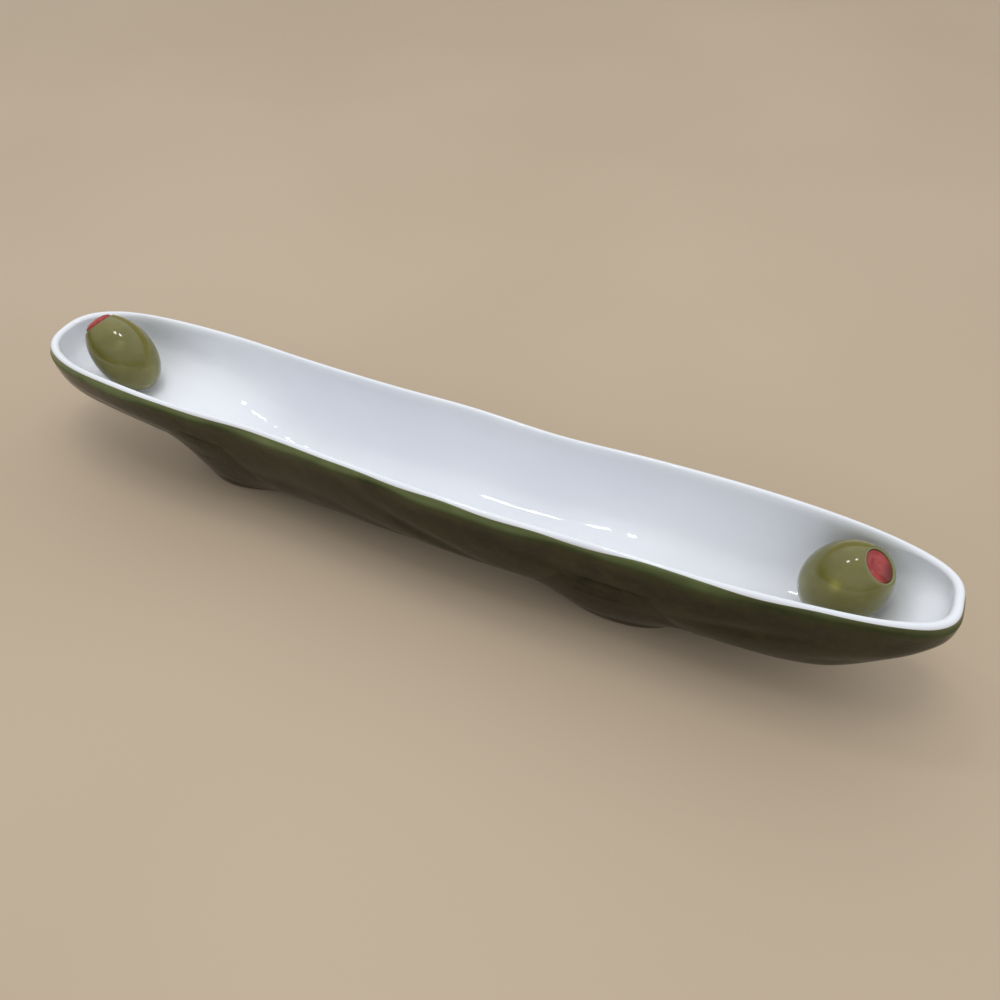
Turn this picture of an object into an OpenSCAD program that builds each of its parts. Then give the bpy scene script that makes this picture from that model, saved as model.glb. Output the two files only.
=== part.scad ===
// Olive dish: a long, slim, hand-formed ceramic boat. It stands on two clay feet, is glazed
// white inside and olive green outside, and holds a moulded stuffed olive at each end.
// Millimetres, +Z up, the dish's length along X, its deeper end at +X. The origin lies on
// the table under the middle of the dish's outline. Near means -Y and far means +Y.

/* [Dish] */
// Overall length of the dish
dish_l = 394; // [330:2:450]
// Width at the shoulder, before the hand-formed waves
dish_w = 54; // [48:1:66]
// Height of the rim's crest above the table, before the hand-formed waves
dish_h = 54; // [48:1:64]
// Height of the band between the shoulder, where the dish is widest, and the lip
band_h = 2.5; // [1.5:0.5:5]
// How far that band leans inwards
band_lean = 1; // [0.4:0.1:2]
// Height of the soft lumps that the maker's hands left on the outside
lump_h = 0.6; // [0:0.1:1]

/* [Clay and glaze] */
// Thickness of the clay wall
wall_t = 3.6; // [3:0.2:6]
// Thickness of each coat of glaze
glaze_t = 0.5; // [0.3:0.1:0.8]
// Joining gap left for slip between two clay pieces
slip_gap = 0.3; // [0.2:0.05:0.5]
// Thickness of a luted piece at its feathered edge
feather_t = 0.6; // [0.4:0.1:1]

/* [Left foot] */
// Distance of its middle from the left end
left_foot_inset = 96; // [88:1:108]
// Length where it meets the dish
left_foot_l = 53; // [38:1:60]
// Width where it meets the dish
left_foot_w = 37; // [28:1:42]

/* [Right foot] */
// Distance of its middle from the right end
right_foot_inset = 121; // [112:1:135]
// Length where it meets the dish
right_foot_l = 64; // [46:1:70]
// Width where it meets the dish
right_foot_w = 42; // [32:1:46]

/* [Olives] */
// Clay wall of the hollow olives
olive_wall = 3.5; // [2.5:0.5:5]
// Diameter of the round mouth that the pimiento fills
mouth_d = 12.6; // [9:0.2:14]
// Width of the flat rim around the mouth
mouth_rim = 0.9; // [0.5:0.1:1.5]

/* [Pimientos] */
// Length of the plug
pimiento_l = 5; // [4:0.5:7]
// Radial gap between the plug and the mouth
pimiento_gap = 0.15; // [0.1:0.05:0.3]
// How far the left plug's edge stands out of its mouth
left_pimiento_out = 1; // [0:0.1:1.5]
// How far the right plug's edge lies below its mouth's rim
right_pimiento_in = 0.5; // [0.2:0.1:1]
// Depth of the hollow in the plug's face
pimiento_dish = 1.1; // [0.5:0.1:2]

/* [Left olive] */
// Length of its whole form, before its mouth is cut
left_olive_l = 37; // [32:0.5:41]
// Thickest diameter
left_olive_d = 26; // [23:0.5:29]
// Distance of its seat from the left end
left_olive_inset = 41.5; // [40:0.5:50]
// How far its seat lies to the far side of the middle
left_olive_far = -3; // [-6:0.5:4]
// Angle of its axis above the table
left_olive_tilt = 48; // [30:1:62]
// Compass heading of its pimiento, 0 towards +X and 90 towards the far side
left_olive_turn = 171; // [150:1:190]

/* [Right olive] */
// Length of its whole form, before its mouth is cut
right_olive_l = 37.5; // [32:0.5:41]
// Thickest diameter
right_olive_d = 29.5; // [24:0.5:30]
// Distance of its seat from the right end
right_olive_inset = 34; // [33:0.5:45]
// How far its seat lies to the far side of the middle
right_olive_far = 3; // [-5:0.5:5]
// Angle of its axis above the table
right_olive_tilt = 58; // [30:1:62]
// Compass heading of its pimiento
right_olive_turn = -3; // [-30:1:30]

/* [Slip beds] */
// Diameter of the bed of slip under each olive
bed_d = 15; // [12:1:17]
// Thickness of the left bed under the middle of the olive's flat
left_bed_t = 2; // [1.6:0.1:2.6]
// Thickness of the right bed under the middle of the olive's flat
right_bed_t = 5; // [4.2:0.1:5.6]
// How deep the flat on the olive is cut
flat_depth = 1.6; // [1:0.1:1.8]

/* [Hidden] */

// Stations along the dish, points across each section and around each luted piece
stations = 42;
section_n = 16;
lip_n = 4;
round_n = 24;

// Shape of the sections, of the plan at each end and of the keel where it rises into an end
left_section_power = 2.8;
right_section_power = 4.2;
left_plan_power = 7;
left_plan_root = 2.6;
right_plan_power = 5;
right_plan_root = 3.2;
keel_power = 14;
keel_root = 2.6;
// Shape of a foot's side, and how far each flat lies towards the left
foot_power = 4.5;
left_skew_share = 0.2;
right_skew_share = -0.25;

// Hand-formed shares at even steps from the left end to the right end: the half-widths on
// each side, the rim's height, and the keel's height as a share of the shoulder's
near_shares = [1.03, 1.03, 1.01, 0.94, 1.01, 1.08, 1.06, 1.02, 1.04, 1.03, 1.0];
far_shares = [1.03, 0.97, 0.99, 0.93, 0.92, 0.94, 0.92, 1.0, 1.02, 0.97, 0.95];
rim_shares = [0.97, 1.0, 0.99, 0.99, 0.99, 1.0, 0.99, 1.0, 1.02, 1.05, 1.045];
keel_shares = [0.52, 0.565, 0.455, 0.14, 0.15, 0.23, 0.23, 0.3, 0.25, 0.32, 0.73];
// Radii of a foot's and a bed's rings, and the height that the bed keeps at each of its rings
foot_ring_shares = [0, 0.4, 0.7, 0.82, 0.92, 1];
bed_ring_shares = [0, 0.4, 0.75, 0.88, 1];
bed_height_shares = [1, 1, 1, 0.4, 0];
// Waves of the lumps along the length, and how much they slant around the section
lump_waves = 4.5;
lump_slant = 1.5;

// Insets of the four glaze and clay surfaces, from the outside in
coat_in = glaze_t;
clay_in = glaze_t + wall_t;
lining_in = clay_in + glaze_t;
lip_r = (lining_in - band_lean) / 2;
shoulder_h = dish_h - band_h - lip_r;
half_l = dish_l / 2;
overrun = 1;
step_l = 1;

// Smooth value at s, from -1 at the left end to 1 at the right end, of an even table
function at_share(shares, s) =
    let (
        last = len(shares) - 1,
        p = min(max((s + 1) / 2 * last, 0), last),
        i = min(floor(p), last - 1),
        f = p - i,
        a = shares[max(i - 1, 0)],
        b = shares[i],
        c = shares[i + 1],
        d = shares[min(i + 2, last)]
    )
    b + f * (c - a) / 2 + f * f * (a - 5 * b / 2 + 2 * c - d / 2)
        + f * f * f * (3 * b - a - 3 * c + d) / 2;

// How boxy the section is
function section_power(s) =
    left_section_power + (right_section_power - left_section_power) * (s + 1) / 2;

// Closing of the plan and of the keel towards the ends
function plan_share(s) = s < 0
    ? pow(1 - pow(-s, left_plan_power), 1 / left_plan_root)
    : pow(1 - pow(s, right_plan_power), 1 / right_plan_root);
function keel_share(s) = pow(1 - pow(abs(s), keel_power), 1 / keel_root);

// Half-width on one side, near -1 or far 1, of the surface that lies inset from the outside
function half_w(s, side, inset) =
    (dish_w / 2 - inset) * at_share(side < 0 ? near_shares : far_shares, s) * plan_share(s);

// Half the difference of the two sides' reach, which brings the outline's middle to y = 0
station_s = [for (i = [0 : stations]) -cos(180 * i / stations)];
near_reach = max([for (s = station_s) half_w(s, -1, 0)]);
far_reach = max([for (s = station_s) half_w(s, 1, 0)]);
mid_y = (near_reach - far_reach) / 2;

// Heights of the shoulder and of the keel
function shoulder_z(s) = dish_h * at_share(rim_shares, s) - band_h - lip_r;
function keel_z(s, inset) =
    let (top = shoulder_z(s))
    top - (top - shoulder_h * at_share(keel_shares, s) - inset) * keel_share(s);

// Outward lump at a place on the outer surfaces, none on the inner ones
function lump(s, a, inset) = inset > coat_in ? 0
    : lump_h * sin(a) * sin(2 * a) * sin(180 * lump_waves * s + lump_slant * a);

// Point on a bowl surface at section angle a, from 0 at the near shoulder to 180 at the far one
function bowl_pt(s, a, inset) =
    let (
        side = cos(a) > 0 ? -1 : 1,
        top = shoulder_z(s),
        across = pow(abs(cos(a)), 2 / section_power(s)),
        down = pow(sin(a), 2 / section_power(s)),
        out = lump(s, a, inset) * plan_share(s)
    )
    [
        s * (half_l - inset),
        side * (half_w(s, side, inset) + out) * across + mid_y,
        top - (top - keel_z(s, inset)) * down
    ];

// Height at a place in plan of a bowl surface without lumps
function bowl_z(x, y, inset) =
    let (
        s = x / (half_l - inset),
        side = y < mid_y ? -1 : 1,
        across = min(abs(y - mid_y) / half_w(s, side, inset), 1),
        top = shoulder_z(s),
        power = section_power(s)
    )
    top - (top - keel_z(s, inset)) * pow(1 - pow(across, power), 1 / power);

// Points of one bowl surface: its two tips, then its sections from left to right
function bowl_points(inset) = [
    bowl_pt(-1, 0, inset),
    bowl_pt(1, 0, inset),
    for (i = [1 : stations - 1])
        for (j = [0 : section_n])
            bowl_pt(station_s[i], 180 * j / section_n, inset)
];
function bowl_index(i, j) = i == 0 ? 0 : i == stations ? 1 : 2 + (i - 1) * (section_n + 1) + j;

// Points of a ring around the rim, near side first, inset in plan and risen above the shoulder
loop_n = 2 * stations;
function loop_station(k) = k <= stations ? k : loop_n - k;
function ring_points(ring) = [
    for (k = [0 : loop_n - 1])
        let (
            s = station_s[loop_station(k)],
            side = k <= stations ? -1 : 1
        )
        [
            s * (half_l - ring[0]),
            side * half_w(s, side, ring[0]) + mid_y,
            shoulder_z(s) + ring[1]
        ]
];
function shoulder_loop(base) = [
    for (k = [0 : loop_n - 1])
        base + bowl_index(loop_station(k), k <= stations ? 0 : section_n)
];

// Triangles of a bowl surface, and of the strip between two loops. The strip's diagonals
// follow the insets, and the rises where the insets are the same, so that two layers that
// touch there share the same triangles.
order_share = 0.01;
function flip(face, turned) = turned ? [face[0], face[2], face[1]] : face;
function bowl_faces(base, turned) = [
    for (i = [0 : stations - 1])
        for (j = [0 : section_n - 1])
            let (
                a = base + bowl_index(i, j),
                b = base + bowl_index(i + 1, j),
                c = base + bowl_index(i, j + 1),
                d = base + bowl_index(i + 1, j + 1)
            )
            each [
                if (i < stations - 1) flip([b, d, a], turned),
                if (i > 0) flip([a, d, c], turned)
            ]
];
function strip_faces(from, to, rising) = [
    for (k = [0 : len(from) - 1])
        let (n = (k + 1) % len(from))
        each rising
            ? [[from[k], to[k], from[n]], [from[n], to[k], to[n]]]
            : [[from[k], to[k], to[n]], [from[k], to[n], from[n]]]
];

// One layer of the dish: an outer bowl, rings over the rim and an inner bowl. Each ring is
// its inset and its rise above the shoulder.
module layer(outer_in, inner_in, rings) {
    bowl_size = len(bowl_points(outer_in));
    inner_base = bowl_size + len(rings) * loop_n;
    loops = [
        shoulder_loop(0),
        for (r = [0 : len(rings) - 1]) [for (k = [0 : loop_n - 1]) bowl_size + r * loop_n + k],
        shoulder_loop(inner_base)
    ];
    keys = [outer_in, for (ring = rings) ring[0] - order_share * ring[1], inner_in];
    polyhedron(
        points = concat(
            bowl_points(outer_in),
            [for (ring = rings) each ring_points(ring)],
            bowl_points(inner_in)
        ),
        faces = concat(
            bowl_faces(0, false),
            [for (l = [0 : len(loops) - 2])
                each strip_faces(loops[l], loops[l + 1], keys[l] < keys[l + 1])],
            bowl_faces(inner_base, true)
        ),
        convexity = 6
    );
}

// Rings halfway up the band and at its top, leaning in on the outside and upright on the
// inside, and the rings of a round lip. The green coat climbs the lip as far as its first
// ring, and the white lining takes the rest.
function band_ring(inset) = [inset + band_lean / 3, band_h / 2];
function top_ring(inset) = [inset + band_lean, band_h];
function wall_ring(inset) = [inset, band_h / 2];
function brim_ring(inset) = [inset, band_h];
function lip_ring(outer_in, inner_in, k) =
    let (r = (inner_in - outer_in - band_lean) / 2, a = 180 * k / lip_n)
    [outer_in + band_lean + r - r * cos(a), band_h + r * sin(a)];
function lip_rings(outer_in, inner_in, first) =
    [for (k = [first : lip_n - 1]) lip_ring(outer_in, inner_in, k)];
function reversed(list) = [for (k = [len(list) - 1 : -1 : 0]) list[k]];

module body_shell() {
    color("#e6dcc8")
        layer(coat_in, clay_in, concat(
            [band_ring(coat_in), top_ring(coat_in)],
            lip_rings(coat_in, clay_in, 1),
            [brim_ring(clay_in), wall_ring(clay_in)]
        ));
}

module green_coat() {
    color("#5f6b42")
        layer(0, coat_in, [
            band_ring(0),
            top_ring(0),
            lip_ring(0, lining_in, 1),
            lip_ring(coat_in, clay_in, 1),
            top_ring(coat_in),
            band_ring(coat_in)
        ]);
}

module white_lining() {
    color("#f4f4f1")
        layer(clay_in, lining_in, concat(
            [wall_ring(clay_in), brim_ring(clay_in)],
            reversed(lip_rings(coat_in, clay_in, 1)),
            lip_rings(0, lining_in, 1),
            [brim_ring(lining_in), wall_ring(lining_in)]
        ));
}

// Closed form between two sheets of points, each a middle point and the same rings
function sheet_faces(base, rings_n, turned) = [
    for (k = [0 : round_n - 1])
        let (n = (k + 1) % round_n)
        each [
            flip([base, base + 1 + n, base + 1 + k], turned),
            for (r = [0 : rings_n - 2])
                let (a = base + 1 + r * round_n, b = a + round_n)
                each [
                    flip([a + k, a + n, b + k], turned),
                    flip([a + n, b + n, b + k], turned)
                ]
        ]
];
module between_sheets(lower, upper, rings_n) {
    rim_a = 1 + (rings_n - 1) * round_n;
    rim_b = len(lower) + rim_a;
    polyhedron(
        points = concat(lower, upper),
        faces = concat(
            sheet_faces(0, rings_n, true),
            sheet_faces(len(lower), rings_n, false),
            strip_faces(
                [for (k = [0 : round_n - 1]) rim_a + k],
                [for (k = [0 : round_n - 1]) rim_b + k],
                true
            )
        ),
        convexity = 4
    );
}

// Foot: a lump of clay that takes the dish's underside as its top. It is formed past the
// table and cut level with it, which leaves the dry flat that the dish stands on.
module foot(x_mid, foot_l, foot_w, skew_share) {
    function foot_drop(r) = sqrt(1 - pow(r, foot_power));
    plan = [
        for (r = foot_ring_shares)
            for (k = [0 : r == 0 ? 0 : round_n - 1])
                let (a = 360 * k / round_n)
                [
                    x_mid + foot_l / 2 * (r * cos(a) - skew_share * (1 - r * r)),
                    foot_w / 2 * r * sin(a) + mid_y,
                    foot_drop(r)
                ]
    ];
    upper = [for (p = plan) [p[0], p[1], bowl_z(p[0], p[1], 0) - slip_gap]];
    lower = [
        for (k = [0 : len(plan) - 1])
            let (top = upper[k][2] - feather_t)
            [plan[k][0], plan[k][1], top - (top + overrun) * plan[k][2]]
    ];
    difference() {
        between_sheets(lower, upper, len(foot_ring_shares) - 1);
        translate([x_mid, 0, -foot_w / 2])
            cube([foot_l + 2 * overrun, foot_w + 2 * overrun, foot_w], center = true);
    }
}

left_foot_x = left_foot_inset - half_l;
right_foot_x = half_l - right_foot_inset;

module foot_left() {
    color("#56613c")
        foot(left_foot_x, left_foot_l, left_foot_w, left_skew_share);
}

module foot_right() {
    color("#56613c")
        foot(right_foot_x, right_foot_l, right_foot_w, right_skew_share);
}

// Seat of an olive, given as its place in plan and its bed's thickness: the point over the
// lining, the floor's slopes there, and the plane that the olive's flat and the bed share
function floor_z(x, y) = bowl_z(x, y, lining_in);
function slope_x(x, y) = (floor_z(x + step_l, y) - floor_z(x - step_l, y)) / (2 * step_l);
function slope_y(x, y) = (floor_z(x, y + step_l) - floor_z(x, y - step_l)) / (2 * step_l);
function seat_point(at) = [at[0], at[1], floor_z(at[0], at[1]) + at[2]];
function seat_plane(at, x, y) =
    seat_point(at)[2] + (x - at[0]) * slope_x(at[0], at[1])
        + (y - at[1]) * slope_y(at[0], at[1]);
function seat_tilt(at) = -atan(slope_x(at[0], at[1]));
function seat_roll(at) = atan(slope_y(at[0], at[1]) * cos(seat_tilt(at)));
function unit(v) = v / norm(v);
function seat_normal(at) = unit([-slope_x(at[0], at[1]), -slope_y(at[0], at[1]), 1]);

// Bed of slip that fills the space between the lining and the olive's flat
module slip_bed(at) {
    plan = [
        for (i = [0 : len(bed_ring_shares) - 1])
            for (k = [0 : i == 0 ? 0 : round_n - 1])
                let (a = 360 * k / round_n, r = bed_d / 2 * bed_ring_shares[i])
                [at[0] + r * cos(a), at[1] + r * sin(a), bed_height_shares[i]]
    ];
    lower = [for (p = plan) [p[0], p[1], floor_z(p[0], p[1]) + slip_gap]];
    upper = [
        for (k = [0 : len(plan) - 1])
            let (
                p = plan[k],
                edge = lower[k][2] + feather_t / 2,
                level = seat_plane(at, p[0], p[1])
            )
            [p[0], p[1], edge + max(level - edge, 0) * p[2]]
    ];
    between_sheets(lower, upper, len(bed_ring_shares) - 1);
}

// Olive form, its thickest ring at z = 0 and its mouth upwards. An olive's form is given as
// its length and its thickest diameter.
mouth_r = mouth_d / 2;
function mouth_z(form) =
    form[0] / 2 * sqrt(1 - pow((mouth_r + mouth_rim) * 2 / form[1], 2));

module olive_form(form, grow) {
    scale([form[1] / 2 + grow, form[1] / 2 + grow, form[0] / 2 + grow])
        sphere(r = 1, $fn = 96);
}

module hollow_olive(form) {
    difference() {
        olive_form(form, 0);
        olive_form(form, -olive_wall);
        cylinder(r = mouth_r, h = form[0], $fn = 72);
        translate([0, 0, mouth_z(form)])
            cylinder(r = form[1], h = form[0]);
    }
}

// Plug with a shallow hollow in its face, which stands out of the mouth or lies in it
module pimiento(form, out) {
    plug_r = mouth_r - pimiento_gap;
    face_z = mouth_z(form) + out;
    hollow_r = (plug_r * plug_r + pimiento_dish * pimiento_dish) / (2 * pimiento_dish);
    difference() {
        translate([0, 0, mouth_z(form) - pimiento_l])
            cylinder(r = plug_r, h = pimiento_l + out, $fn = 72);
        translate([0, 0, face_z + hollow_r - pimiento_dish])
            sphere(r = hollow_r, $fn = 96);
    }
}

// Middle of a seated olive form, so that its lowest point off the seat lies under its flat
function axis_of(tilt, turn) = [cos(tilt) * cos(turn), cos(tilt) * sin(turn), sin(tilt)];
function olive_middle(at, form, tilt, turn) =
    let (
        n = seat_normal(at),
        u = axis_of(tilt, turn),
        b2 = form[1] * form[1] / 4,
        d2 = form[0] * form[0] / 4 - b2,
        h = sqrt(b2 + d2 * pow(n * u, 2))
    )
    seat_point(at) - flat_depth * n + (b2 * n + d2 * (n * u) * u) / h;

module seated(at, form, tilt, turn) {
    translate(olive_middle(at, form, tilt, turn))
        rotate([0, 90 - tilt, turn])
            children();
}

module olive(at, form, tilt, turn) {
    difference() {
        seated(at, form, tilt, turn)
            hollow_olive(form);
        translate(seat_point(at))
            rotate([seat_roll(at), seat_tilt(at), 0])
                translate([0, 0, -form[0] / 2])
                    cube(form[0], center = true);
    }
}

left_form = [left_olive_l, left_olive_d];
right_form = [right_olive_l, right_olive_d];
left_seat = [left_olive_inset - half_l, left_olive_far + mid_y, left_bed_t];
right_seat = [half_l - right_olive_inset, right_olive_far + mid_y, right_bed_t];

module slip_bed_left() {
    color("#efeee8")
        slip_bed(left_seat);
}

module slip_bed_right() {
    color("#efeee8")
        slip_bed(right_seat);
}

module olive_left() {
    color("#8f9163")
        olive(left_seat, left_form, left_olive_tilt, left_olive_turn);
}

module olive_right() {
    color("#8f9163")
        olive(right_seat, right_form, right_olive_tilt, right_olive_turn);
}

module pimiento_left() {
    color("#c0454a")
        seated(left_seat, left_form, left_olive_tilt, left_olive_turn)
            pimiento(left_form, left_pimiento_out);
}

module pimiento_right() {
    color("#c0454a")
        seated(right_seat, right_form, right_olive_tilt, right_olive_turn)
            pimiento(right_form, -right_pimiento_in);
}

body_shell();
green_coat();
white_lining();
foot_left();
foot_right();
slip_bed_left();
slip_bed_right();
olive_left();
olive_right();
pimiento_left();
pimiento_right();
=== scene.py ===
import math
import bmesh
import bpy
import numpy as np
from mathutils import Matrix, Vector


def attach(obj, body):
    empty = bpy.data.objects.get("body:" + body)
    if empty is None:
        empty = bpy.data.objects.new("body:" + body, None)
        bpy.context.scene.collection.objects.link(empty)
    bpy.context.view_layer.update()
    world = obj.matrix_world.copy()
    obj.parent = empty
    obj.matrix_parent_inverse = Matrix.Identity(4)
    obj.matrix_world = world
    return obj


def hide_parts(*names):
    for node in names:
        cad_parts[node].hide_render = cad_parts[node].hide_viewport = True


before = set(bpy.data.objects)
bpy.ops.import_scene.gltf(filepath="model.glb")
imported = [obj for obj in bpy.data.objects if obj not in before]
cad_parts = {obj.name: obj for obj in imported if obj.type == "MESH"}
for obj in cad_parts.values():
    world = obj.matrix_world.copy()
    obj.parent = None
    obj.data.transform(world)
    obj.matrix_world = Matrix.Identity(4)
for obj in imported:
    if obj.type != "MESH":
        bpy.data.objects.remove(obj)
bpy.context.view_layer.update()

MM = 0.001

# ---------------------------------------------------------------- shape of the dish, in mm
# sizes of the dish, the same as in the CAD part
DISH_L, DISH_W, DISH_H = 394.0, 54.0, 54.0
BAND_H, BAND_LEAN, LUMP_H = 2.5, 1.0, 0.6
WALL, GLAZE = 3.6, 0.5
LINING_IN = 2 * GLAZE + WALL
LIP_R = (LINING_IN - BAND_LEAN) / 2
SHOULDER_H = DISH_H - BAND_H - LIP_R
HALF_L = DISH_L / 2
LEFT_POWER, RIGHT_POWER = 2.8, 4.2
# how full the plan is towards each tip, and the keel towards both: inner power and outer root
LEFT_TIP, RIGHT_TIP, KEEL_TIP = (7, 2.6), (5, 3.2), (14, 2.6)
CAD_STATIONS = 42
# shares along the length, from the left end to the right: near and far half width, rim, keel
NEAR = [1.03, 1.03, 1.01, 0.94, 1.01, 1.08, 1.06, 1.02, 1.04, 1.03, 1.0]
FAR = [1.03, 0.97, 0.99, 0.93, 0.92, 0.94, 0.92, 1.0, 1.02, 0.97, 0.95]
RIM = [0.97, 1.0, 0.99, 0.99, 0.99, 1.0, 0.99, 1.0, 1.02, 1.05, 1.045]
KEEL = [0.52, 0.565, 0.455, 0.14, 0.15, 0.23, 0.23, 0.30, 0.25, 0.32, 0.73]
# foot: middle x, length, width, skew; a little larger and squarer than in the CAD part
FEET = {"left": (95 - HALF_L, 55.0, 37.5, 0.2), "right": (HALF_L - 121, 64.5, 42.0, -0.25)}
FOOT_POWER = 6.0
# length of hull that a foot's skirt takes, as a share of the foot's, and rows left out under the lip
FOOT_REACH, FOOT_TRIM = 0.82, 20
SKIRT_SHARE, SKIRT_BLEND = 0.85, 0.5
TABLE_EDGE = 0.9
FOOT_GLAZE = 0.3
# seat, as in the CAD part: x, distance to the far side, bed thickness, tilt, turn
SEATS = {"left": (41.5 - HALF_L, -3.0, 2.0, 48.0, 171.0), "right": (HALF_L - 34, 3.0, 5.0, 58.0, -3.0)}
# olive form: half length and half diameter; how far the plug stands out of the mouth
FORMS = {"left": (18.5, 13.0), "right": (18.75, 14.75)}
OUT = {"left": 1.0, "right": -0.5}
MOUTH_R, MOUTH_RIM, RIM_DROP, RIM_RISE = 6.3, 0.9, 0.42, 0.36
OLIVE_WALL = 3.5
PLUG_GAP, PLUG_L = 0.15, 4.8
# how deep the face of each plug is dished; below zero it is domed
DISHED = {"left": -1.6, "right": 1.1}
# depth of the flat that an olive is seated on
FLAT = 1.6
# a small warm yellow spot painted on the right olive, in the olive's own axes
YELLOW_SPOT, SPOT_R = (-7.6, -11.7, 6.3), 2.0
# how far the glazed olive dips into its slip, deeper than in the CAD part, and the smaller radius of its slip
DIP = {"left": 1.1, "right": 0.6}
BED_R = {"left": 3.6, "right": 6.6}
# thickness of the glaze sheets, and depth of the clay under their faces
SHEET, CLAY_UNDER = 0.42, 0.6


def at_share(shares, s):
    """Smooth curve through evenly spaced values, at s from -1 to 1."""
    v = np.asarray(shares, float)
    last = len(v) - 1
    p = np.clip((np.asarray(s, float) + 1) / 2 * last, 0, last)
    i = np.minimum(np.floor(p).astype(int), last - 1)
    f = p - i
    a, b, c, d = v[np.maximum(i - 1, 0)], v[i], v[i + 1], v[np.minimum(i + 2, last)]
    square, cube = a - 2.5 * b + 2 * c - d / 2, 3 * b - a - 3 * c + d
    return b + f * (c - a) / 2 + f * f * square + f ** 3 * cube / 2


def plan_share(s):
    a = np.minimum(np.abs(s), 1.0)
    left, right = ((1 - a ** power) ** (1 / root) for power, root in (LEFT_TIP, RIGHT_TIP))
    return np.where(np.asarray(s) < 0, left, right)


def keel_share(s):
    power, root = KEEL_TIP
    return (1 - np.minimum(np.abs(s), 1.0) ** power) ** (1 / root)


def section_power(s):
    return LEFT_POWER + (RIGHT_POWER - LEFT_POWER) * (np.asarray(s) + 1) / 2


def half_w(s, side, inset):
    share = np.where(np.asarray(side) < 0, at_share(NEAR, s), at_share(FAR, s))
    return (DISH_W / 2 - inset) * share * plan_share(s)


cad_s = -np.cos(np.pi * np.arange(CAD_STATIONS + 1) / CAD_STATIONS)
MID_Y = float(np.max(half_w(cad_s, -1, 0)) - np.max(half_w(cad_s, 1, 0))) / 2


def shoulder_z(s):
    return DISH_H * at_share(RIM, s) - BAND_H - LIP_R


def keel_z(s, inset):
    top = shoulder_z(s)
    return top - (top - SHOULDER_H * at_share(KEEL, s) - inset) * keel_share(s)


def bowl_z(x, y, inset):
    s = np.clip(np.asarray(x, float) / (HALF_L - inset), -1, 1)
    side = np.where(np.asarray(y) < MID_Y, -1, 1)
    across = np.minimum(np.abs(y - MID_Y) / np.maximum(half_w(s, side, inset), 1e-6), 1)
    top, p = shoulder_z(s), section_power(s)
    return top - (top - keel_z(s, inset)) * (1 - across ** p) ** (1 / p)


def smooth(t):
    t = np.clip(t, 0, 1)
    return t * t * (3 - 2 * t)


rng = np.random.default_rng(7)
WAVES = [
    (rng.normal(size=2) * np.array([1.0, 1.4]), rng.uniform(0, 2 * math.pi), rng.uniform(0.6, 1.0))
    for _ in range(10)
]


def ripple(u, v, size):
    """Soft random waves, about -1 to 1, over two coordinates in mm."""
    total, norm = 0, 0
    for k, phase, amp in WAVES:
        total = total + amp * np.sin((k[0] * u + k[1] * v) / size + phase)
        norm += amp
    return total / norm * 1.6


# ---------------------------------------------------------------- dish skins
# stations along the dish, steps round the bowl, rows on the outside and the inside of the lip
NS, NA, LIP_OUT, LIP_IN = 320, 96, 9, 27
phi = np.linspace(0, math.pi, NS + 1)
st = -np.cos(phi)


# how far up the near lip, in degrees, the green glaze reaches, from the left end to the right
EDGE_NEAR = [36, 34, 32, 36, 34, 20, 28, 34, 40, 26, 44, 20, 32, 12, 56, 44, 24, 40, 34, 18]
EDGE_FAR, EDGE_FAR_WAVE = 38, 9
# share of the length from which the two sides' edges run together at a tip, and over how much
MEET_FROM, MEET_OVER = 0.95, 0.05


def edge_angle(s, side):
    """How far up the lip, in degrees, the green glaze reaches."""
    x = s * HALF_L
    near, far = (2.5 * np.sin(x / 5.3 + way) + 2 * np.sin(x / 9.1 + 2.3 * way) for way in (-1, 1))
    near = near + at_share(EDGE_NEAR, s)
    far = far + EDGE_FAR + EDGE_FAR_WAVE * np.sin(x / 23 + 1)
    own, other = (near, far) if side < 0 else (far, near)
    # the two sides meet at both tips
    return own + (other - own) * 0.5 * smooth((np.abs(s) - MEET_FROM) / MEET_OVER)


def grid_mesh(name, grids, closed_rows, extra=None):
    """One mesh from grids of points (rows x columns x 3), in mm."""
    verts, faces, base = [], [], 0
    for g, closed in zip(grids, closed_rows):
        r, c = g.shape[:2]
        verts.append(g.reshape(-1, 3))
        cols = c if closed else c - 1
        for i in range(r - 1):
            for j in range(cols):
                k = (j + 1) % c
                here, there = base + i * c, base + (i + 1) * c
                faces.append((here + j, there + j, there + k, here + k))
        base += r * c
    if extra:
        faces += extra
    mesh = bpy.data.meshes.new(name)
    mesh.from_pydata((np.concatenate(verts) * MM).tolist(), [], faces)
    mesh.validate()
    mesh.update()
    mesh.shade_smooth()
    ob = bpy.data.objects.new(name, mesh)
    bpy.context.scene.collection.objects.link(ob)
    return ob


def merge(ob, dist=0.00002):
    """Join points closer than dist, in metres, and turn all faces outwards."""
    bm = bmesh.new()
    bm.from_mesh(ob.data)
    bmesh.ops.remove_doubles(bm, verts=bm.verts, dist=dist)
    bmesh.ops.recalc_face_normals(bm, faces=bm.faces)
    bm.to_mesh(ob.data)
    bm.free()
    ob.data.shade_smooth()
    return ob


def side_profile(inset, rise, side):
    """Rows over the stations: one point of the wall above the shoulder."""
    y = side * half_w(st, side, inset) + MID_Y
    return np.stack([st * (HALF_L - inset), y, shoulder_z(st) + rise], -1)


HIGH_SHARE, HIGH_FROM, HIGH_OVER = 1.15, 0.84, 0.11
# the inside of the right end is softer: from where, over how much, the curve's powers, and how much rounder
EASE_FROM, EASE_OVER, SOFT_POWER, SOFT_ROOT, ROUNDER = 0.87, 0.09, 6, 2.4, 1.1
# lumps along each side of the hull, and how far they twist on the way round
LUMPS, LUMP_TWIST = 4.5, 1.5


def high_start():
    """At both ends the inside's curve starts higher, right under the lip's crest."""
    return BAND_H * HIGH_SHARE * smooth((np.abs(st) - HIGH_FROM) / HIGH_OVER)


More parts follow.
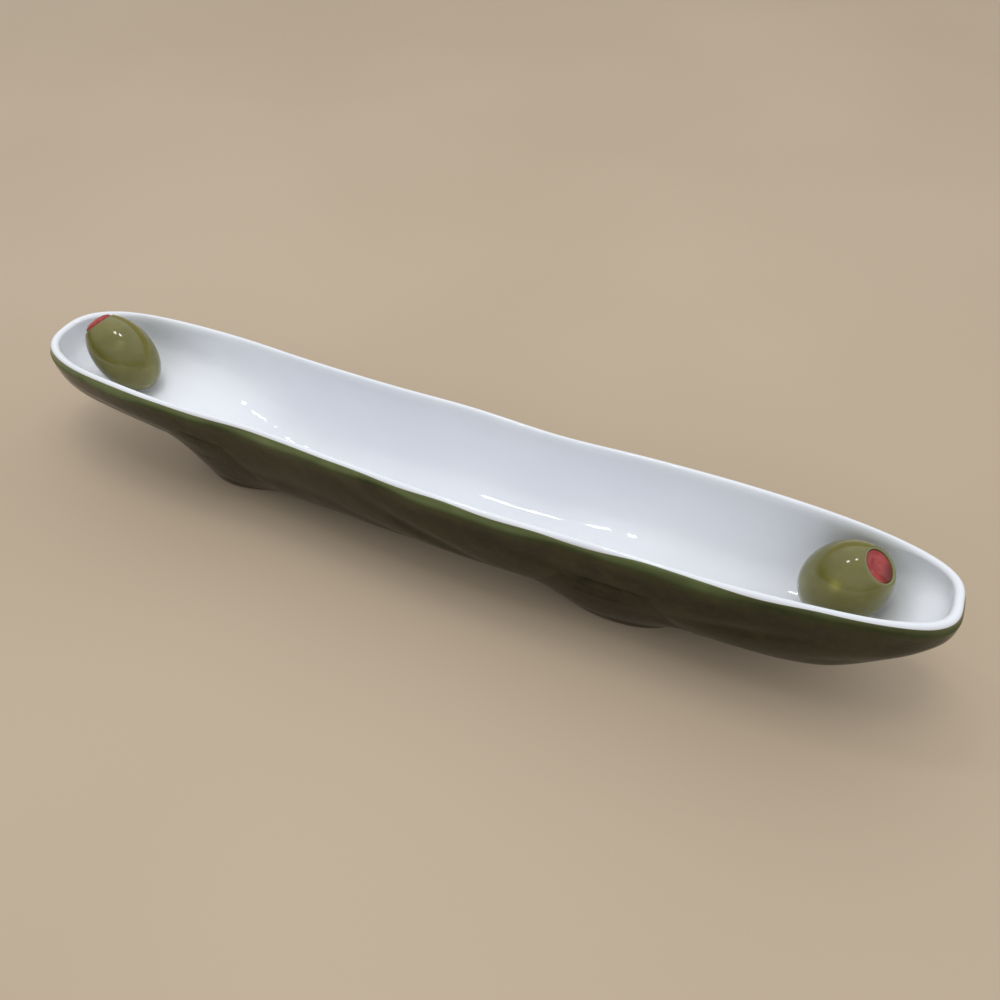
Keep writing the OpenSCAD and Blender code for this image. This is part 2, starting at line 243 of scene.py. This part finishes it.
def bowl_rows(inset, lump):
    """Rows round the bowl, inset from the hull: its lumpy outside, or its inside."""
    cols = []
    ease = 0 if lump else smooth((st - EASE_FROM) / EASE_OVER)
    softer = (1 - np.minimum(np.abs(st), 1.0) ** SOFT_POWER) ** (1 / SOFT_ROOT)
    top = shoulder_z(st) + (0 if lump else high_start())
    bottom = keel_z(st, inset)
    raised = 1 - softer / np.maximum(keel_share(st), 1e-6)
    bottom = bottom + (shoulder_z(st) - bottom) * ease * raised
    for a in np.linspace(0, math.pi, NA + 1):
        side = -1 if math.cos(a) > 0 else 1
        p = section_power(st) - ROUNDER * ease
        across, down = abs(math.cos(a)) ** (2 / p), math.sin(a) ** (2 / p)
        out = 0
        if lump:
            wave = np.sin(np.radians(180 * LUMPS * st + LUMP_TWIST * math.degrees(a)))
            out = LUMP_H * math.sin(a) * math.sin(2 * a) * wave * plan_share(st)
        y = side * (half_w(st, side, inset) + out) * across + MID_Y
        z = top - (top - bottom) * down
        cols.append(np.stack([st * (HALF_L - inset), y, z], -1))
    return cols


def normals(g):
    du = np.gradient(g, axis=0)
    dv = np.gradient(g, axis=1)
    n = np.cross(du, dv)
    return n / np.maximum(np.linalg.norm(n, axis=-1, keepdims=True), 1e-9)


def lip_point(t, angle, side):
    """Rows of points on the lip at an angle (0 outside, 90 crest, 180 inside), t below its face."""
    r = LIP_R - t
    a = np.radians(angle)
    inset = BAND_LEAN + LIP_R - r * np.cos(a)
    y = side * half_w(st, side, inset) + MID_Y
    return np.stack([st * (HALF_L - inset), y, shoulder_z(st) + BAND_H + r * np.sin(a)], -1)


def outer_skin(t, top_angle):
    """Grid from the near lip edge, down round the hull, to the far lip edge, t below the surface."""
    near, far = [], []
    for side, rows in ((-1, near), (1, far)):
        top = edge_angle(st, side) if top_angle is None else np.full(NS + 1, float(top_angle))
        for k in np.linspace(1, 0, LIP_OUT):
            rows.append(lip_point(t, top * k, side))
        for k in np.linspace(1, 0, LIP_OUT)[1:-1]:
            rows.append(side_profile(t + BAND_LEAN * float(smooth(k)), BAND_H * k, side))
    g = near + bowl_rows(t, True) + far[::-1]
    return np.stack(g, 1)


def inner_skin(t, top_angle):
    """Grid from the near glaze edge over the lip, down the inside and up to the far one."""
    near, far = [], []
    for side, rows in ((-1, near), (1, far)):
        top = edge_angle(st, side) if top_angle is None else np.full(NS + 1, float(top_angle))
        for k in np.linspace(0, 1, LIP_IN)[:-1]:
            p = lip_point(t, top + (180 - top) * k, side)
            # inside the crest the glaze runs down in one long curve, without a bead
            past = top + (180 - top) * k > 90
            drop = shoulder_z(st) + BAND_H + LIP_R - t - p[:, 2]
            p[:, 2] = np.where(past, p[:, 2] - drop * (BAND_H - high_start()) / (LIP_R - t), p[:, 2])
            rows.append(p)
    g = near + bowl_rows(LINING_IN - t, False) + far[::-1]
    return np.stack(g, 1)


def gauss(d, w):
    return np.exp(-(d / w) ** 2)


# creases and thumb dents on the outside: x, z, half length, half height, slope, depth
DENTS = [
    (2, 30, 26, 3.2, -0.32, 0.75), (-14, 21, 22, 3.0, -0.2, 0.5), (-150, 38, 20, 2.4, -0.1, 0.55),
    (-118, 33, 18, 3.0, -0.25, 0.45), (128, 35, 24, 3.2, 0.22, 0.7), (96, 24, 24, 4.0, -0.1, 0.55),
    (58, 38, 22, 3.5, -0.1, 0.4), (-72, 26, 24, 4.5, 0.1, 0.5), (165, 30, 18, 4.0, 0.3, 0.5),
]


def outward(g):
    """Unit normals of a grid, turned away from the middle of the dish."""
    n = normals(g)
    return n * np.sign(np.sum(n * (g - np.array([0, MID_Y, 40.0])), -1, keepdims=True) + 1e-9)


def shape_outer(g):
    n = outward(g)
    x, y, z = g[..., 0], g[..., 1], g[..., 2]
    low = smooth((shoulder_z(x / HALF_L) + BAND_H - z) / 9)
    d = -0.28 * (1 + ripple(x, z * 1.6 + y * 0.5, 17.0)) * low
    d = d - 0.10 * (1 + ripple(x, z + y, 7.0)) * low
    for cx, cz, lx, lz, slope, depth in DENTS:
        on = gauss(x - cx, lx) * gauss(z - cz - slope * (x - cx), lz)
        d = d - depth * on * low * np.where(y < MID_Y, 1.0, 0.8)
    tip = smooth((1 - np.abs(x) / HALF_L) / 0.04)
    for x_mid, length, width, _ in FEET.values():
        r = np.hypot((x - x_mid) / length * 2, (y - MID_Y) / width * 2)
        tip = tip * np.where(z < 30, smooth((r - 1.0) / 0.5), 1)
    return g + n * (d * tip)[..., None]


def shape_inner(g):
    x, y, z = g[..., 0], g[..., 1], g[..., 2]
    n = normals(g)
    n *= np.sign(np.sum(n * (np.array([0, MID_Y, 60.0]) - g), -1, keepdims=True) + 1e-9)
    low = smooth((shoulder_z(x / HALF_L) - z) / 9)
    d = 0.22 * ripple(x * 0.5, y * 1.3 + z, 8.5) * low
    d = d + 0.10 * ripple(x * 0.7, y * 1.6 + z + 31, 3.4) * low
    d = d - 0.14 * low
    tip = smooth((1 - np.abs(x) / HALF_L) / 0.05)
    return g + n * (d * tip)[..., None]


def thick_skin(name, outer, inner, ends=False):
    """Closed shell from two matching grids; ends caps it there too, where it isn't drawn to a point."""
    r, c = outer.shape[:2]
    base = r * c
    rim = []
    for i in range(r - 1):
        here, there, last = i * c, (i + 1) * c, c - 1
        rim.append((here, base + here, base + there, there))
        rim.append((here + last, there + last, base + there + last, base + here + last))
    if ends:
        for j in range(c - 1):
            last = (r - 1) * c
            rim.append((j, j + 1, base + j + 1, base + j))
            rim.append((last + j, base + last + j, base + last + j + 1, last + j + 1))
    ob = grid_mesh(name, [outer, inner], [False, False], rim)
    return merge(ob)


green_out = shape_outer(outer_skin(0.0, None))
green_in = shape_outer(outer_skin(SHEET, None))
dish_green = thick_skin("dish_green", green_out, green_in)
white_out = shape_inner(inner_skin(0.0, None))
white_in = shape_inner(inner_skin(SHEET, None))
dish_white = thick_skin("dish_white", white_out, white_in)
clay_out = shape_outer(outer_skin(CLAY_UNDER, 90))
clay_in = shape_inner(inner_skin(CLAY_UNDER, 90))
dish_clay = merge(grid_mesh("dish_clay", [clay_out, clay_in], [False, False]))


def set_float(ob, name, values):
    at = ob.data.attributes.new(name, "FLOAT", "POINT")
    at.data.foreach_set("value", np.asarray(values, np.float32))


def coords(ob):
    co = np.empty(len(ob.data.vertices) * 3)
    ob.data.vertices.foreach_get("co", co)
    return co.reshape(-1, 3) / MM


# how thin the green glaze lies: it breaks lighter towards the lip's crest, and less so towards the right end
co = coords(dish_green)
up = shoulder_z(co[:, 0] / HALF_L) + BAND_H + LIP_R - co[:, 2]
reach = 7.2 + 1.6 * np.sin(co[:, 0] / 14) + 0.8 * np.sin(co[:, 0] / 5.9 + 1)
thin = (1 - smooth((up - 0.4) / reach)) * (1 - 0.36 * smooth((co[:, 0] - 40) / 110))
set_float(dish_green, "thin", thin)


# ---------------------------------------------------------------- feet
def smooth_max(a, b, k):
    h = np.maximum(k - np.abs(a - b), 0) / k
    return np.maximum(a, b) + h * h * k / 4


def foot(name, x_mid, length, width, skew):
    """A lump pressed on under the hull and smoothed into it, cut level for the table."""
    rows = np.abs(st * HALF_L - x_mid) < length * FOOT_REACH
    g = green_out[rows][:, FOOT_TRIM:-FOOT_TRIM]
    n = outward(g)
    x, y, z = g[..., 0], g[..., 1], g[..., 2]
    u, v = (x - x_mid) / length * 2, (y - MID_Y) / width * 2
    r = np.hypot(u, v)
    for _ in range(4):
        r = np.hypot(u + skew * (1 - np.minimum(r, 1) ** 2), v)
    a = np.arctan2(v, u)
    q = r * (1 + 0.03 * np.sin(3 * a + x_mid) + 0.015 * np.sin(5 * a + 1))
    body = np.sqrt(np.maximum(1 - np.minimum(q, 1) ** FOOT_POWER, 0))
    skirt = SKIRT_SHARE * (1 - smooth((q - 0.6) / 1.0))
    drop = np.clip(smooth_max(body, skirt, SKIRT_BLEND) * (1 - smooth((q - 0.98) / 0.56)), 0, 1)
    low = g - n * (0.12 * (1 - smooth(drop / 0.03)))[..., None]
    down = low[..., 2] - (z + 1.3) * drop
    rounded = TABLE_EDGE * 0.25 * (1 + np.maximum(down / TABLE_EDGE, -1)) ** 2
    low[..., 2] = np.where(down < TABLE_EDGE, rounded, down)
    return thick_skin(name, low, g - n * FOOT_GLAZE, True)


feet = {k: foot("foot_" + k + "_glazed", *v) for k, v in FEET.items()}


# ---------------------------------------------------------------- olives
def floor_z(x, y):
    return bowl_z(x, y, LINING_IN)


def seat(which):
    """Seat point, the floor's normal there, and the olive's middle and axes, as in the CAD."""
    x, far, bed, tilt, turn = SEATS[which]
    oa, ob = FORMS[which]
    y = far + MID_Y
    z0 = float(floor_z(x, y))
    sx = float(floor_z(x + 1, y) - floor_z(x - 1, y)) / 2
    sy = float(floor_z(x, y + 1) - floor_z(x, y - 1)) / 2
    n = np.array([-sx, -sy, 1.0])
    n /= np.linalg.norm(n)
    t, h = math.radians(tilt), math.radians(turn)
    u = np.array([math.cos(t) * math.cos(h), math.cos(t) * math.sin(h), math.sin(t)])
    b2, d2 = ob ** 2, oa ** 2 - ob ** 2
    k = math.sqrt(b2 + d2 * float(n @ u) ** 2)
    at = np.array([x, y, z0 + bed])
    middle = at - FLAT * n + (b2 * n + d2 * float(n @ u) * u) / k
    turned = Matrix.Rotation(h, 3, "Z") @ Matrix.Rotation(math.pi / 2 - t, 3, "Y")
    return at, n, middle, np.array(turned)


def mouth_z(which):
    """How far along its axis an olive is cut for the mouth."""
    oa, ob = FORMS[which]
    return oa * math.sqrt(1 - ((MOUTH_R + MOUTH_RIM) / ob) ** 2)


def lathe(profile, around):
    """Grid of a profile of radius and height, turned round the z axis."""
    a = np.linspace(0, 2 * math.pi, around, endpoint=False)
    p = np.asarray(profile)
    return np.stack([p[:, :1] * np.cos(a), p[:, :1] * np.sin(a), np.repeat(p[:, 1:2], around, 1)], -1)


def olive(which):
    at, n, middle, turned = seat(which)
    oa, ob = FORMS[which]
    mz = mouth_z(which)
    prof = []
    for t in np.linspace(-math.pi / 2, math.acos((MOUTH_R + MOUTH_RIM + 0.15) / ob), 100):
        prof.append((ob * math.cos(t), oa * math.sin(t)))
    # soft rim round the mouth, then the mouth's wall
    mid_r = MOUTH_R + MOUTH_RIM * 0.5
    for t in np.linspace(20, 175, 14):
        c = math.radians(t)
        prof.append((mid_r + MOUTH_RIM * 0.52 * math.cos(c), mz - RIM_DROP + RIM_RISE * math.sin(c)))
    # through the wall, and then all round the hollow of the casting
    ia, ib = oa - OLIVE_WALL, ob - OLIVE_WALL
    start = math.acos(MOUTH_R / ib)
    for t in np.linspace(0.12, 0.9, 6):
        prof.append((MOUTH_R, mz - 0.4 + (ia * math.sin(start) - mz + 0.4) * t))
    for t in np.linspace(start, -math.pi / 2, 60):
        prof.append((ib * math.cos(t), ia * math.sin(t)))
    g = lathe(prof, 160)
    nz = g / np.maximum(np.linalg.norm(g, axis=-1, keepdims=True), 1e-6)
    shift = 40 if which == "left" else 0
    body = smooth((mz - g[..., 2]) / 3.0)
    d = -0.10 * (1 + ripple(g[..., 0] + shift, g[..., 1] * 0.8 + g[..., 2] * 0.7, 9.0)) * body
    w = (g + nz * d[..., None]) @ turned.T + middle
    under = (w - at) @ n + DIP[which]
    w = w + n * (np.maximum(-under, 0))[..., None]
    return merge(grid_mesh("olive_" + which + "_glazed", [w], [True]))


def pimiento(which):
    _, _, middle, turned = seat(which)
    R = MOUTH_R - PLUG_GAP
    face, back = mouth_z(which) + OUT[which], mouth_z(which) - PLUG_L
    prof = [(0.0, face - DISHED[which])]
    for q in np.linspace(0.04, 0.93, 30):
        prof.append((R * q, face - DISHED[which] * (1 - q ** 2.2)))
    for t in np.linspace(70, 0, 6):
        c = math.radians(t)
        prof.append((R - RIM_DROP + RIM_DROP * math.cos(c), face - RIM_DROP + RIM_RISE * math.sin(c)))
    prof += [(R, face - 2.0), (R, back + 0.1), (R * 0.5, back), (0.0, back)]
    g = lathe(prof, 96)
    top = smooth((g[..., 2] - (face - 1.6)) / 0.6)
    low = 0.3 if DISHED[which] > 0 else 0.0
    x, y = g[..., 0], g[..., 1]
    fold = 0.10 * np.sin(x * 0.9 + 0.6 * np.sin(y * 0.7)) + 0.05 * np.sin(y * 1.7 + 1)
    inner = smooth((R - np.hypot(x, y)) / 1.6)
    g[..., 2] += (fold - low) * top * inner * 0.8
    return merge(grid_mesh("pimiento_" + which + "_glazed", [g @ turned.T + middle], [True]))


def slip_bed(which):
    """Slip that has squeezed out round the olive's seat, drawn up to it in a small fillet."""
    at, n, _, _ = seat(which)
    rings, around = 22, 72
    r = np.linspace(0, 1, rings)[:, None]
    a = np.linspace(0, 2 * math.pi, around, endpoint=False)[None, :]
    rad = BED_R[which] * (1 + 0.03 * np.sin(3 * a + 1) + 0.02 * np.sin(7 * a))
    x = at[0] + rad * r * np.cos(a)
    y = at[1] + rad * r * np.sin(a)
    base = floor_z(x, y)
    level = at[2] - ((x - at[0]) * n[0] + (y - at[1]) * n[1]) / n[2] - DIP[which] / n[2]
    keep = np.where(r < 0.84, 1.0, 1 - smooth((r - 0.84) / 0.16))
    top = base - 0.1 + np.maximum(level - 0.05 - (base - 0.1), 0.0) * keep
    under = np.minimum(base - 0.3, top)
    g = np.concatenate([np.stack([x, y, top], -1), np.stack([x, y, under], -1)[::-1]], 0)
    return merge(grid_mesh("slip_bed_" + which + "_glazed", [g], [True]))


olives, plugs, beds = {}, {}, {}
for side in ("left", "right"):
    olives[side] = olive(side)
    plugs[side] = pimiento(side)
    beds[side] = slip_bed(side)


for side in ("left", "right"):
    _, _, middle, turned = seat(side)
    loc = (coords(olives[side]) - middle) @ turned
    plug = (coords(plugs[side]) - middle) @ turned
    # painted shade on the plug: its face is coloured darker towards the low side of its hollow
    set_float(plugs[side], "plug_shade", smooth((plug[:, 0] / MOUTH_R - 0.1) / 0.8))
    # paleness round the olive's mouth, where the glaze thins on the edge
    rim = gauss(np.hypot(loc[:, 0], loc[:, 1]) - MOUTH_R - 0.35, 0.5) * (loc[:, 2] > mouth_z(side) - 1.2)
    set_float(olives[side], "rim", rim)
    spot = np.linalg.norm(loc - np.array(YELLOW_SPOT), axis=-1)
    set_float(olives[side], "spot", gauss(spot, SPOT_R) * (side == "right"))


# ---------------------------------------------------------------- materials
def material(name):
    m = bpy.data.materials.new(name)
    m.use_nodes = True
    t = m.node_tree
    return m, t, t.nodes["Principled BSDF"]


def noise(t, coord, scale, detail=3.0, rough=0.5, distortion=0.0):
    n = t.nodes.new("ShaderNodeTexNoise")
    n.inputs["Scale"].default_value = scale
    n.inputs["Detail"].default_value = detail
    n.inputs["Roughness"].default_value = rough
    n.inputs["Distortion"].default_value = distortion
    t.links.new(coord, n.inputs["Vector"])
    return n.outputs["Fac"]


def span(t, value, lo, hi, out_lo=0.0, out_hi=1.0):
    n = t.nodes.new("ShaderNodeMapRange")
    n.interpolation_type = "SMOOTHSTEP"
    for k, v in (("From Min", lo), ("From Max", hi), ("To Min", out_lo), ("To Max", out_hi)):
        n.inputs[k].default_value = v
    t.links.new(value, n.inputs["Value"])
    return n.outputs["Result"]


def mix(t, fac, a, b, blend="MIX"):
    n = t.nodes.new("ShaderNodeMix")
    n.data_type = "RGBA"
    n.blend_type = blend
    if isinstance(fac, float):
        n.inputs["Factor"].default_value = fac
    else:
        t.links.new(fac, n.inputs["Factor"])
    for slot, v in (("A", a), ("B", b)):
        sock = [i for i in n.inputs if i.name == slot and i.type == "RGBA"][0]
        if isinstance(v, tuple):
            sock.default_value = (*v, 1.0)
        else:
            t.links.new(v, sock)
    return [o for o in n.outputs if o.type == "RGBA"][0]


def math_node(t, op, a, b):
    n = t.nodes.new("ShaderNodeMath")
    n.operation = op
    for i, v in enumerate((a, b)):
        if isinstance(v, float):
            n.inputs[i].default_value = v
        else:
            t.links.new(v, n.inputs[i])
    return n.outputs[0]


def bump(t, shader, height, distance, strength=1.0):
    n = t.nodes.new("ShaderNodeBump")
    n.inputs["Distance"].default_value = distance
    n.inputs["Strength"].default_value = strength
    t.links.new(height, n.inputs["Height"])
    t.links.new(n.outputs["Normal"], shader.inputs["Normal"])


def object_coord(t):
    return t.nodes.new("ShaderNodeTexCoord").outputs["Object"]


def attribute(t, name):
    n = t.nodes.new("ShaderNodeAttribute")
    n.attribute_name = name
    return n.outputs["Fac"]


def glaze(name, rough, ior=1.5):
    m, t, s = material(name)
    s.inputs["Roughness"].default_value = rough
    s.inputs["IOR"].default_value = ior
    return m, t, s


def green_material(feet_too=False):
    m, t, s = glaze("foot glaze" if feet_too else "green glaze", 0.16, 1.46)
    s.inputs["Specular IOR Level"].default_value = 0.22 if feet_too else 0.34
    s.inputs["Specular Tint"].default_value = (1.0, 0.90, 0.74, 1)
    co = object_coord(t)
    broad = noise(t, co, 30.0, 3.0, 0.6, 0.6)
    mid = noise(t, co, 85.0, 3.0, 0.6, 0.8)
    fine = noise(t, co, 240.0, 4.0, 0.6)
    specks = noise(t, co, 900.0, 2.0, 0.5)
    base = mix(t, span(t, broad, 0.38, 0.62), (0.015, 0.014, 0.005), (0.029, 0.026, 0.009))
    base = mix(t, span(t, mid, 0.45, 0.70, 0.0, 0.5), base, (0.040, 0.036, 0.014))
    base = mix(t, span(t, fine, 0.42, 0.75, 0.0, 0.3), base, (0.046, 0.045, 0.018))
    base = mix(t, span(t, specks, 0.66, 0.74, 0.0, 0.35), base, (0.012, 0.012, 0.006))
    # painted shade: the hull is coloured darker low down, near the table, where it lies in shade and reflects
    # the shaded floor
    height = t.nodes.new("ShaderNodeSeparateXYZ")
    t.links.new(co, height.inputs[0])
    base = mix(t, span(t, height.outputs["Z"], 0.012, 0.038, 0.7, 0.0), base, (0.008, 0.0075, 0.003))
    if feet_too:
        # a dry flat where the foot was wiped before firing, with a soft ragged edge
        sep = t.nodes.new("ShaderNodeSeparateXYZ")
        t.links.new(co, sep.inputs[0])
        ragged = math_node(t, "MULTIPLY", fine, 0.0012)
        height = math_node(t, "SUBTRACT", sep.outputs["Z"], ragged)
        dry = span(t, height, -0.0002, 0.0002, 1.0, 0.0)
        grain = noise(t, co, 1400.0, 5.0, 0.7)
        bisque = mix(t, span(t, grain, 0.4, 0.7), (0.62, 0.53, 0.40), (0.50, 0.41, 0.29))
        base = mix(t, dry, base, bisque)
        rough = span(t, dry, 0.0, 1.0, 0.16, 0.85)
        t.links.new(rough, s.inputs["Roughness"])
    else:
        thin = attribute(t, "thin")
        edge = math_node(t, "MULTIPLY", thin, span(t, broad, 0.3, 0.7, 0.7, 1.0))
        base = mix(t, edge, base, (0.090, 0.118, 0.038))
        thinnest, uneven = span(t, thin, 0.40, 0.95, 0.0, 0.95), span(t, broad, 0.35, 0.65, 0.6, 1.0)
        bright = math_node(t, "MULTIPLY", thinnest, uneven)
        base = mix(t, bright, base, (0.20, 0.25, 0.105))
        t.links.new(span(t, fine, 0.3, 0.8, 0.11, 0.24), s.inputs["Roughness"])
    t.links.new(base, s.inputs["Base Color"])
    bump(t, s, mix(t, 0.35, noise(t, co, 60.0, 2.0), fine), 0.0006, 0.7)
    return m


def white_material(name="white glaze"):
    m, t, s = glaze(name, 0.1)
    co = object_coord(t)
    broad = noise(t, co, 18.0, 2.0)
    fine = noise(t, co, 160.0, 3.0, 0.55)
    pins = noise(t, co, 1500.0, 1.0)
    base = mix(t, span(t, broad, 0.35, 0.65), (0.85, 0.866, 0.90), (0.88, 0.891, 0.92))
    base = mix(t, span(t, pins, 0.75, 0.80, 0.0, 0.25), base, (0.60, 0.58, 0.53))
    t.links.new(base, s.inputs["Base Color"])
    t.links.new(span(t, fine, 0.3, 0.8, 0.035, 0.08), s.inputs["Roughness"])
    bump(t, s, mix(t, 0.3, noise(t, co, 55.0, 2.0), fine), 0.00035, 0.5)
    return m


def clay_material():
    m, t, s = material("fired clay")
    co = object_coord(t)
    grain = noise(t, co, 1200.0, 5.0, 0.7)
    patch = noise(t, co, 60.0, 3.0)
    base = mix(t, span(t, patch, 0.3, 0.7), (0.66, 0.57, 0.44), (0.58, 0.48, 0.36))
    base = mix(t, span(t, grain, 0.55, 0.75, 0.0, 0.5), base, (0.42, 0.33, 0.24))
    t.links.new(base, s.inputs["Base Color"])
    s.inputs["Roughness"].default_value = 0.85
    bump(t, s, grain, 0.0003, 0.6)
    return m


def olive_material():
    m, t, s = glaze("olive glaze", 0.09)
    co = object_coord(t)
    patch = noise(t, co, 60.0, 2.0, 0.5, 0.6)
    fine = noise(t, co, 420.0, 4.0, 0.6)
    cloud = noise(t, co, 90.0, 2.0)
    base = mix(t, span(t, cloud, 0.35, 0.65), (0.152, 0.140, 0.030), (0.186, 0.169, 0.044))
    base = mix(t, span(t, patch, 0.62, 0.76, 0.0, 0.6), base, (0.26, 0.23, 0.080))
    base = mix(t, span(t, fine, 0.5, 0.8, 0.0, 0.25), base, (0.095, 0.092, 0.030))
    base = mix(t, math_node(t, "MULTIPLY", attribute(t, "rim"), 0.6), base, (0.24, 0.24, 0.11))
    base = mix(t, math_node(t, "MULTIPLY", attribute(t, "spot"), 0.9), base, (0.33, 0.30, 0.06))
    t.links.new(base, s.inputs["Base Color"])
    bump(t, s, mix(t, 0.3, cloud, fine), 0.0002, 0.4)
    s.inputs["Coat Weight"].default_value = 0.15
    s.inputs["Coat Roughness"].default_value = 0.03
    return m


def pimiento_material():
    m, t, s = glaze("pimiento glaze", 0.14)
    co = object_coord(t)
    patch = noise(t, co, 210.0, 3.0, 0.6, 0.5)
    fine = noise(t, co, 900.0, 4.0, 0.6)
    base = mix(t, span(t, patch, 0.35, 0.68), (0.34, 0.040, 0.038), (0.46, 0.075, 0.070))
    base = mix(t, span(t, fine, 0.5, 0.8, 0.0, 0.3), base, (0.26, 0.032, 0.032))
    # painted shade: the face is coloured darker on the low side of the hollow, as if shaded there
    base = mix(t, math_node(t, "MULTIPLY", attribute(t, "plug_shade"), 0.9), base, (0.11, 0.014, 0.012))
    t.links.new(base, s.inputs["Base Color"])
    s.inputs["Specular IOR Level"].default_value = 0.3
    bump(t, s, patch, 0.0003, 0.5)
    return m


def give(ob, m):
    ob.data.materials.clear()
    ob.data.materials.append(m)


white, clay, olive_glaze, red = white_material(), clay_material(), olive_material(), pimiento_material()
give(dish_green, green_material())
give(dish_white, white)
give(dish_clay, clay)
foot_glaze = green_material(True)
bed_white = white_material("slip bed glaze")
for side in ("left", "right"):
    give(feet[side], foot_glaze)
    give(olives[side], olive_glaze)
    give(plugs[side], red)
    give(beds[side], bed_white)

# ---------------------------------------------------------------- what each piece stands for
for ob, cad, slot_name in (
    (dish_green, "green_coat", "green_glaze"),
    (dish_white, "white_lining", "white_glaze"),
    (dish_clay, "body_shell", "clay_body"),
    (feet["left"], "foot_left", "green_glaze"),
    (feet["right"], "foot_right", "green_glaze"),
    (beds["left"], "slip_bed_left", "white_glaze"),
    (beds["right"], "slip_bed_right", "white_glaze"),
    (olives["left"], "olive_left", "olive_glaze"),
    (olives["right"], "olive_right", "olive_glaze"),
    (plugs["left"], "pimiento_left", "red_glaze"),
    (plugs["right"], "pimiento_right", "red_glaze"),
):
    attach(ob, "root")
    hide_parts(cad)


# ---------------------------------------------------------------- stage, light and camera
def stage_plane():
    """Floor that curves up into a backdrop, in metres."""
    half, back, bend, flat_rows, columns = 3.0, 1.7, 0.5, 24, 31
    turn = np.linspace(0, math.pi / 2, 14)[1:]
    y = np.concatenate([np.linspace(-half, back, flat_rows), back + bend * np.sin(turn), [back + bend] * 2])
    z = np.concatenate([np.zeros(flat_rows), bend * (1 - np.cos(turn)), [0.7, 0.8]])
    x = np.linspace(-half, half, columns)
    g = np.stack(np.broadcast_arrays(x[None], y[:, None], z[:, None]), -1) / MM
    return grid_mesh("floor_stage", [g], [False])


floor = stage_plane()
m, t, s = material("pale floor")
cloud = span(t, noise(t, object_coord(t), 3.0, 2.0), 0.3, 0.7)
tone = mix(t, cloud, (0.52, 0.405, 0.28), (0.56, 0.44, 0.31))
t.links.new(tone, s.inputs["Base Color"])
s.inputs["Roughness"].default_value = 0.7
give(floor, m)


def area(name, at, size, energy, aim=(0, 0, 0.03)):
    """Square white area light, turned towards the dish."""
    lamp = bpy.data.lights.new(name, "AREA")
    lamp.shape = "SQUARE"
    lamp.size = size
    lamp.energy = energy
    ob = bpy.data.objects.new(name, lamp)
    ob.location = at
    ob.rotation_mode = "QUATERNION"
    ob.rotation_quaternion = (Vector(aim) - Vector(at)).to_track_quat("-Z", "Y")
    bpy.context.scene.collection.objects.link(ob)
    return ob


soft_top = area("soft_top", (-0.02, -0.05, 1.5), 0.5, 3.2)
soft_top.visible_glossy = False
# two small lamps, which the glaze shows as bright points
area("lamp_one", (-0.103, 0.034, 0.444), 0.045, 0.105)
area("lamp_two", (-0.005, 0.092, 0.510), 0.045, 0.12)

# a plain room: light from the ceiling, less from the walls, with an even pale background for the camera
world = bpy.data.worlds.new("soft room")
bpy.context.scene.world = world
world.use_nodes = True
t = world.node_tree
background = t.nodes["Background"]
sep = t.nodes.new("ShaderNodeSeparateXYZ")
t.links.new(t.nodes.new("ShaderNodeTexCoord").outputs["Generated"], sep.inputs[0])
ceiling = span(t, sep.outputs["Z"], 0.0, 0.55, 0.05, 0.76)
window_side = span(t, sep.outputs["Y"], -0.4, 0.7, 0.0, 0.30)
window_side = math_node(t, "ADD", window_side, math_node(t, "MULTIPLY", sep.outputs["X"], 0.08))
room = math_node(t, "ADD", ceiling, window_side)
seen = t.nodes.new("ShaderNodeLightPath").outputs["Is Camera Ray"]
level = math_node(t, "MAXIMUM", room, math_node(t, "MULTIPLY", seen, 0.75))
t.links.new(level, background.inputs["Strength"])
background.inputs["Color"].default_value = (0.925, 0.957, 1.0, 1)

cam_data = bpy.data.cameras.new("camera")
cam = bpy.data.objects.new("camera", cam_data)
bpy.context.scene.collection.objects.link(cam)
cam_data.sensor_width = 36.0
cam_data.lens = 32.76
cam_data.shift_x = -0.031
right = Vector((0.9167, 0.3996, 0.0))
up_v = Vector((-0.2960, 0.6791, 0.6717))
forward = Vector((-0.2684, 0.6158, -0.7408))
rot = Matrix((right, up_v, -forward)).transposed()
cam.matrix_world = Matrix.Translation((0.13401, -0.22246, 0.3057)) @ rot.to_4x4()
cam_data.clip_start = 0.01
bpy.context.scene.camera = cam
bpy.context.scene.view_settings.view_transform = "Standard"
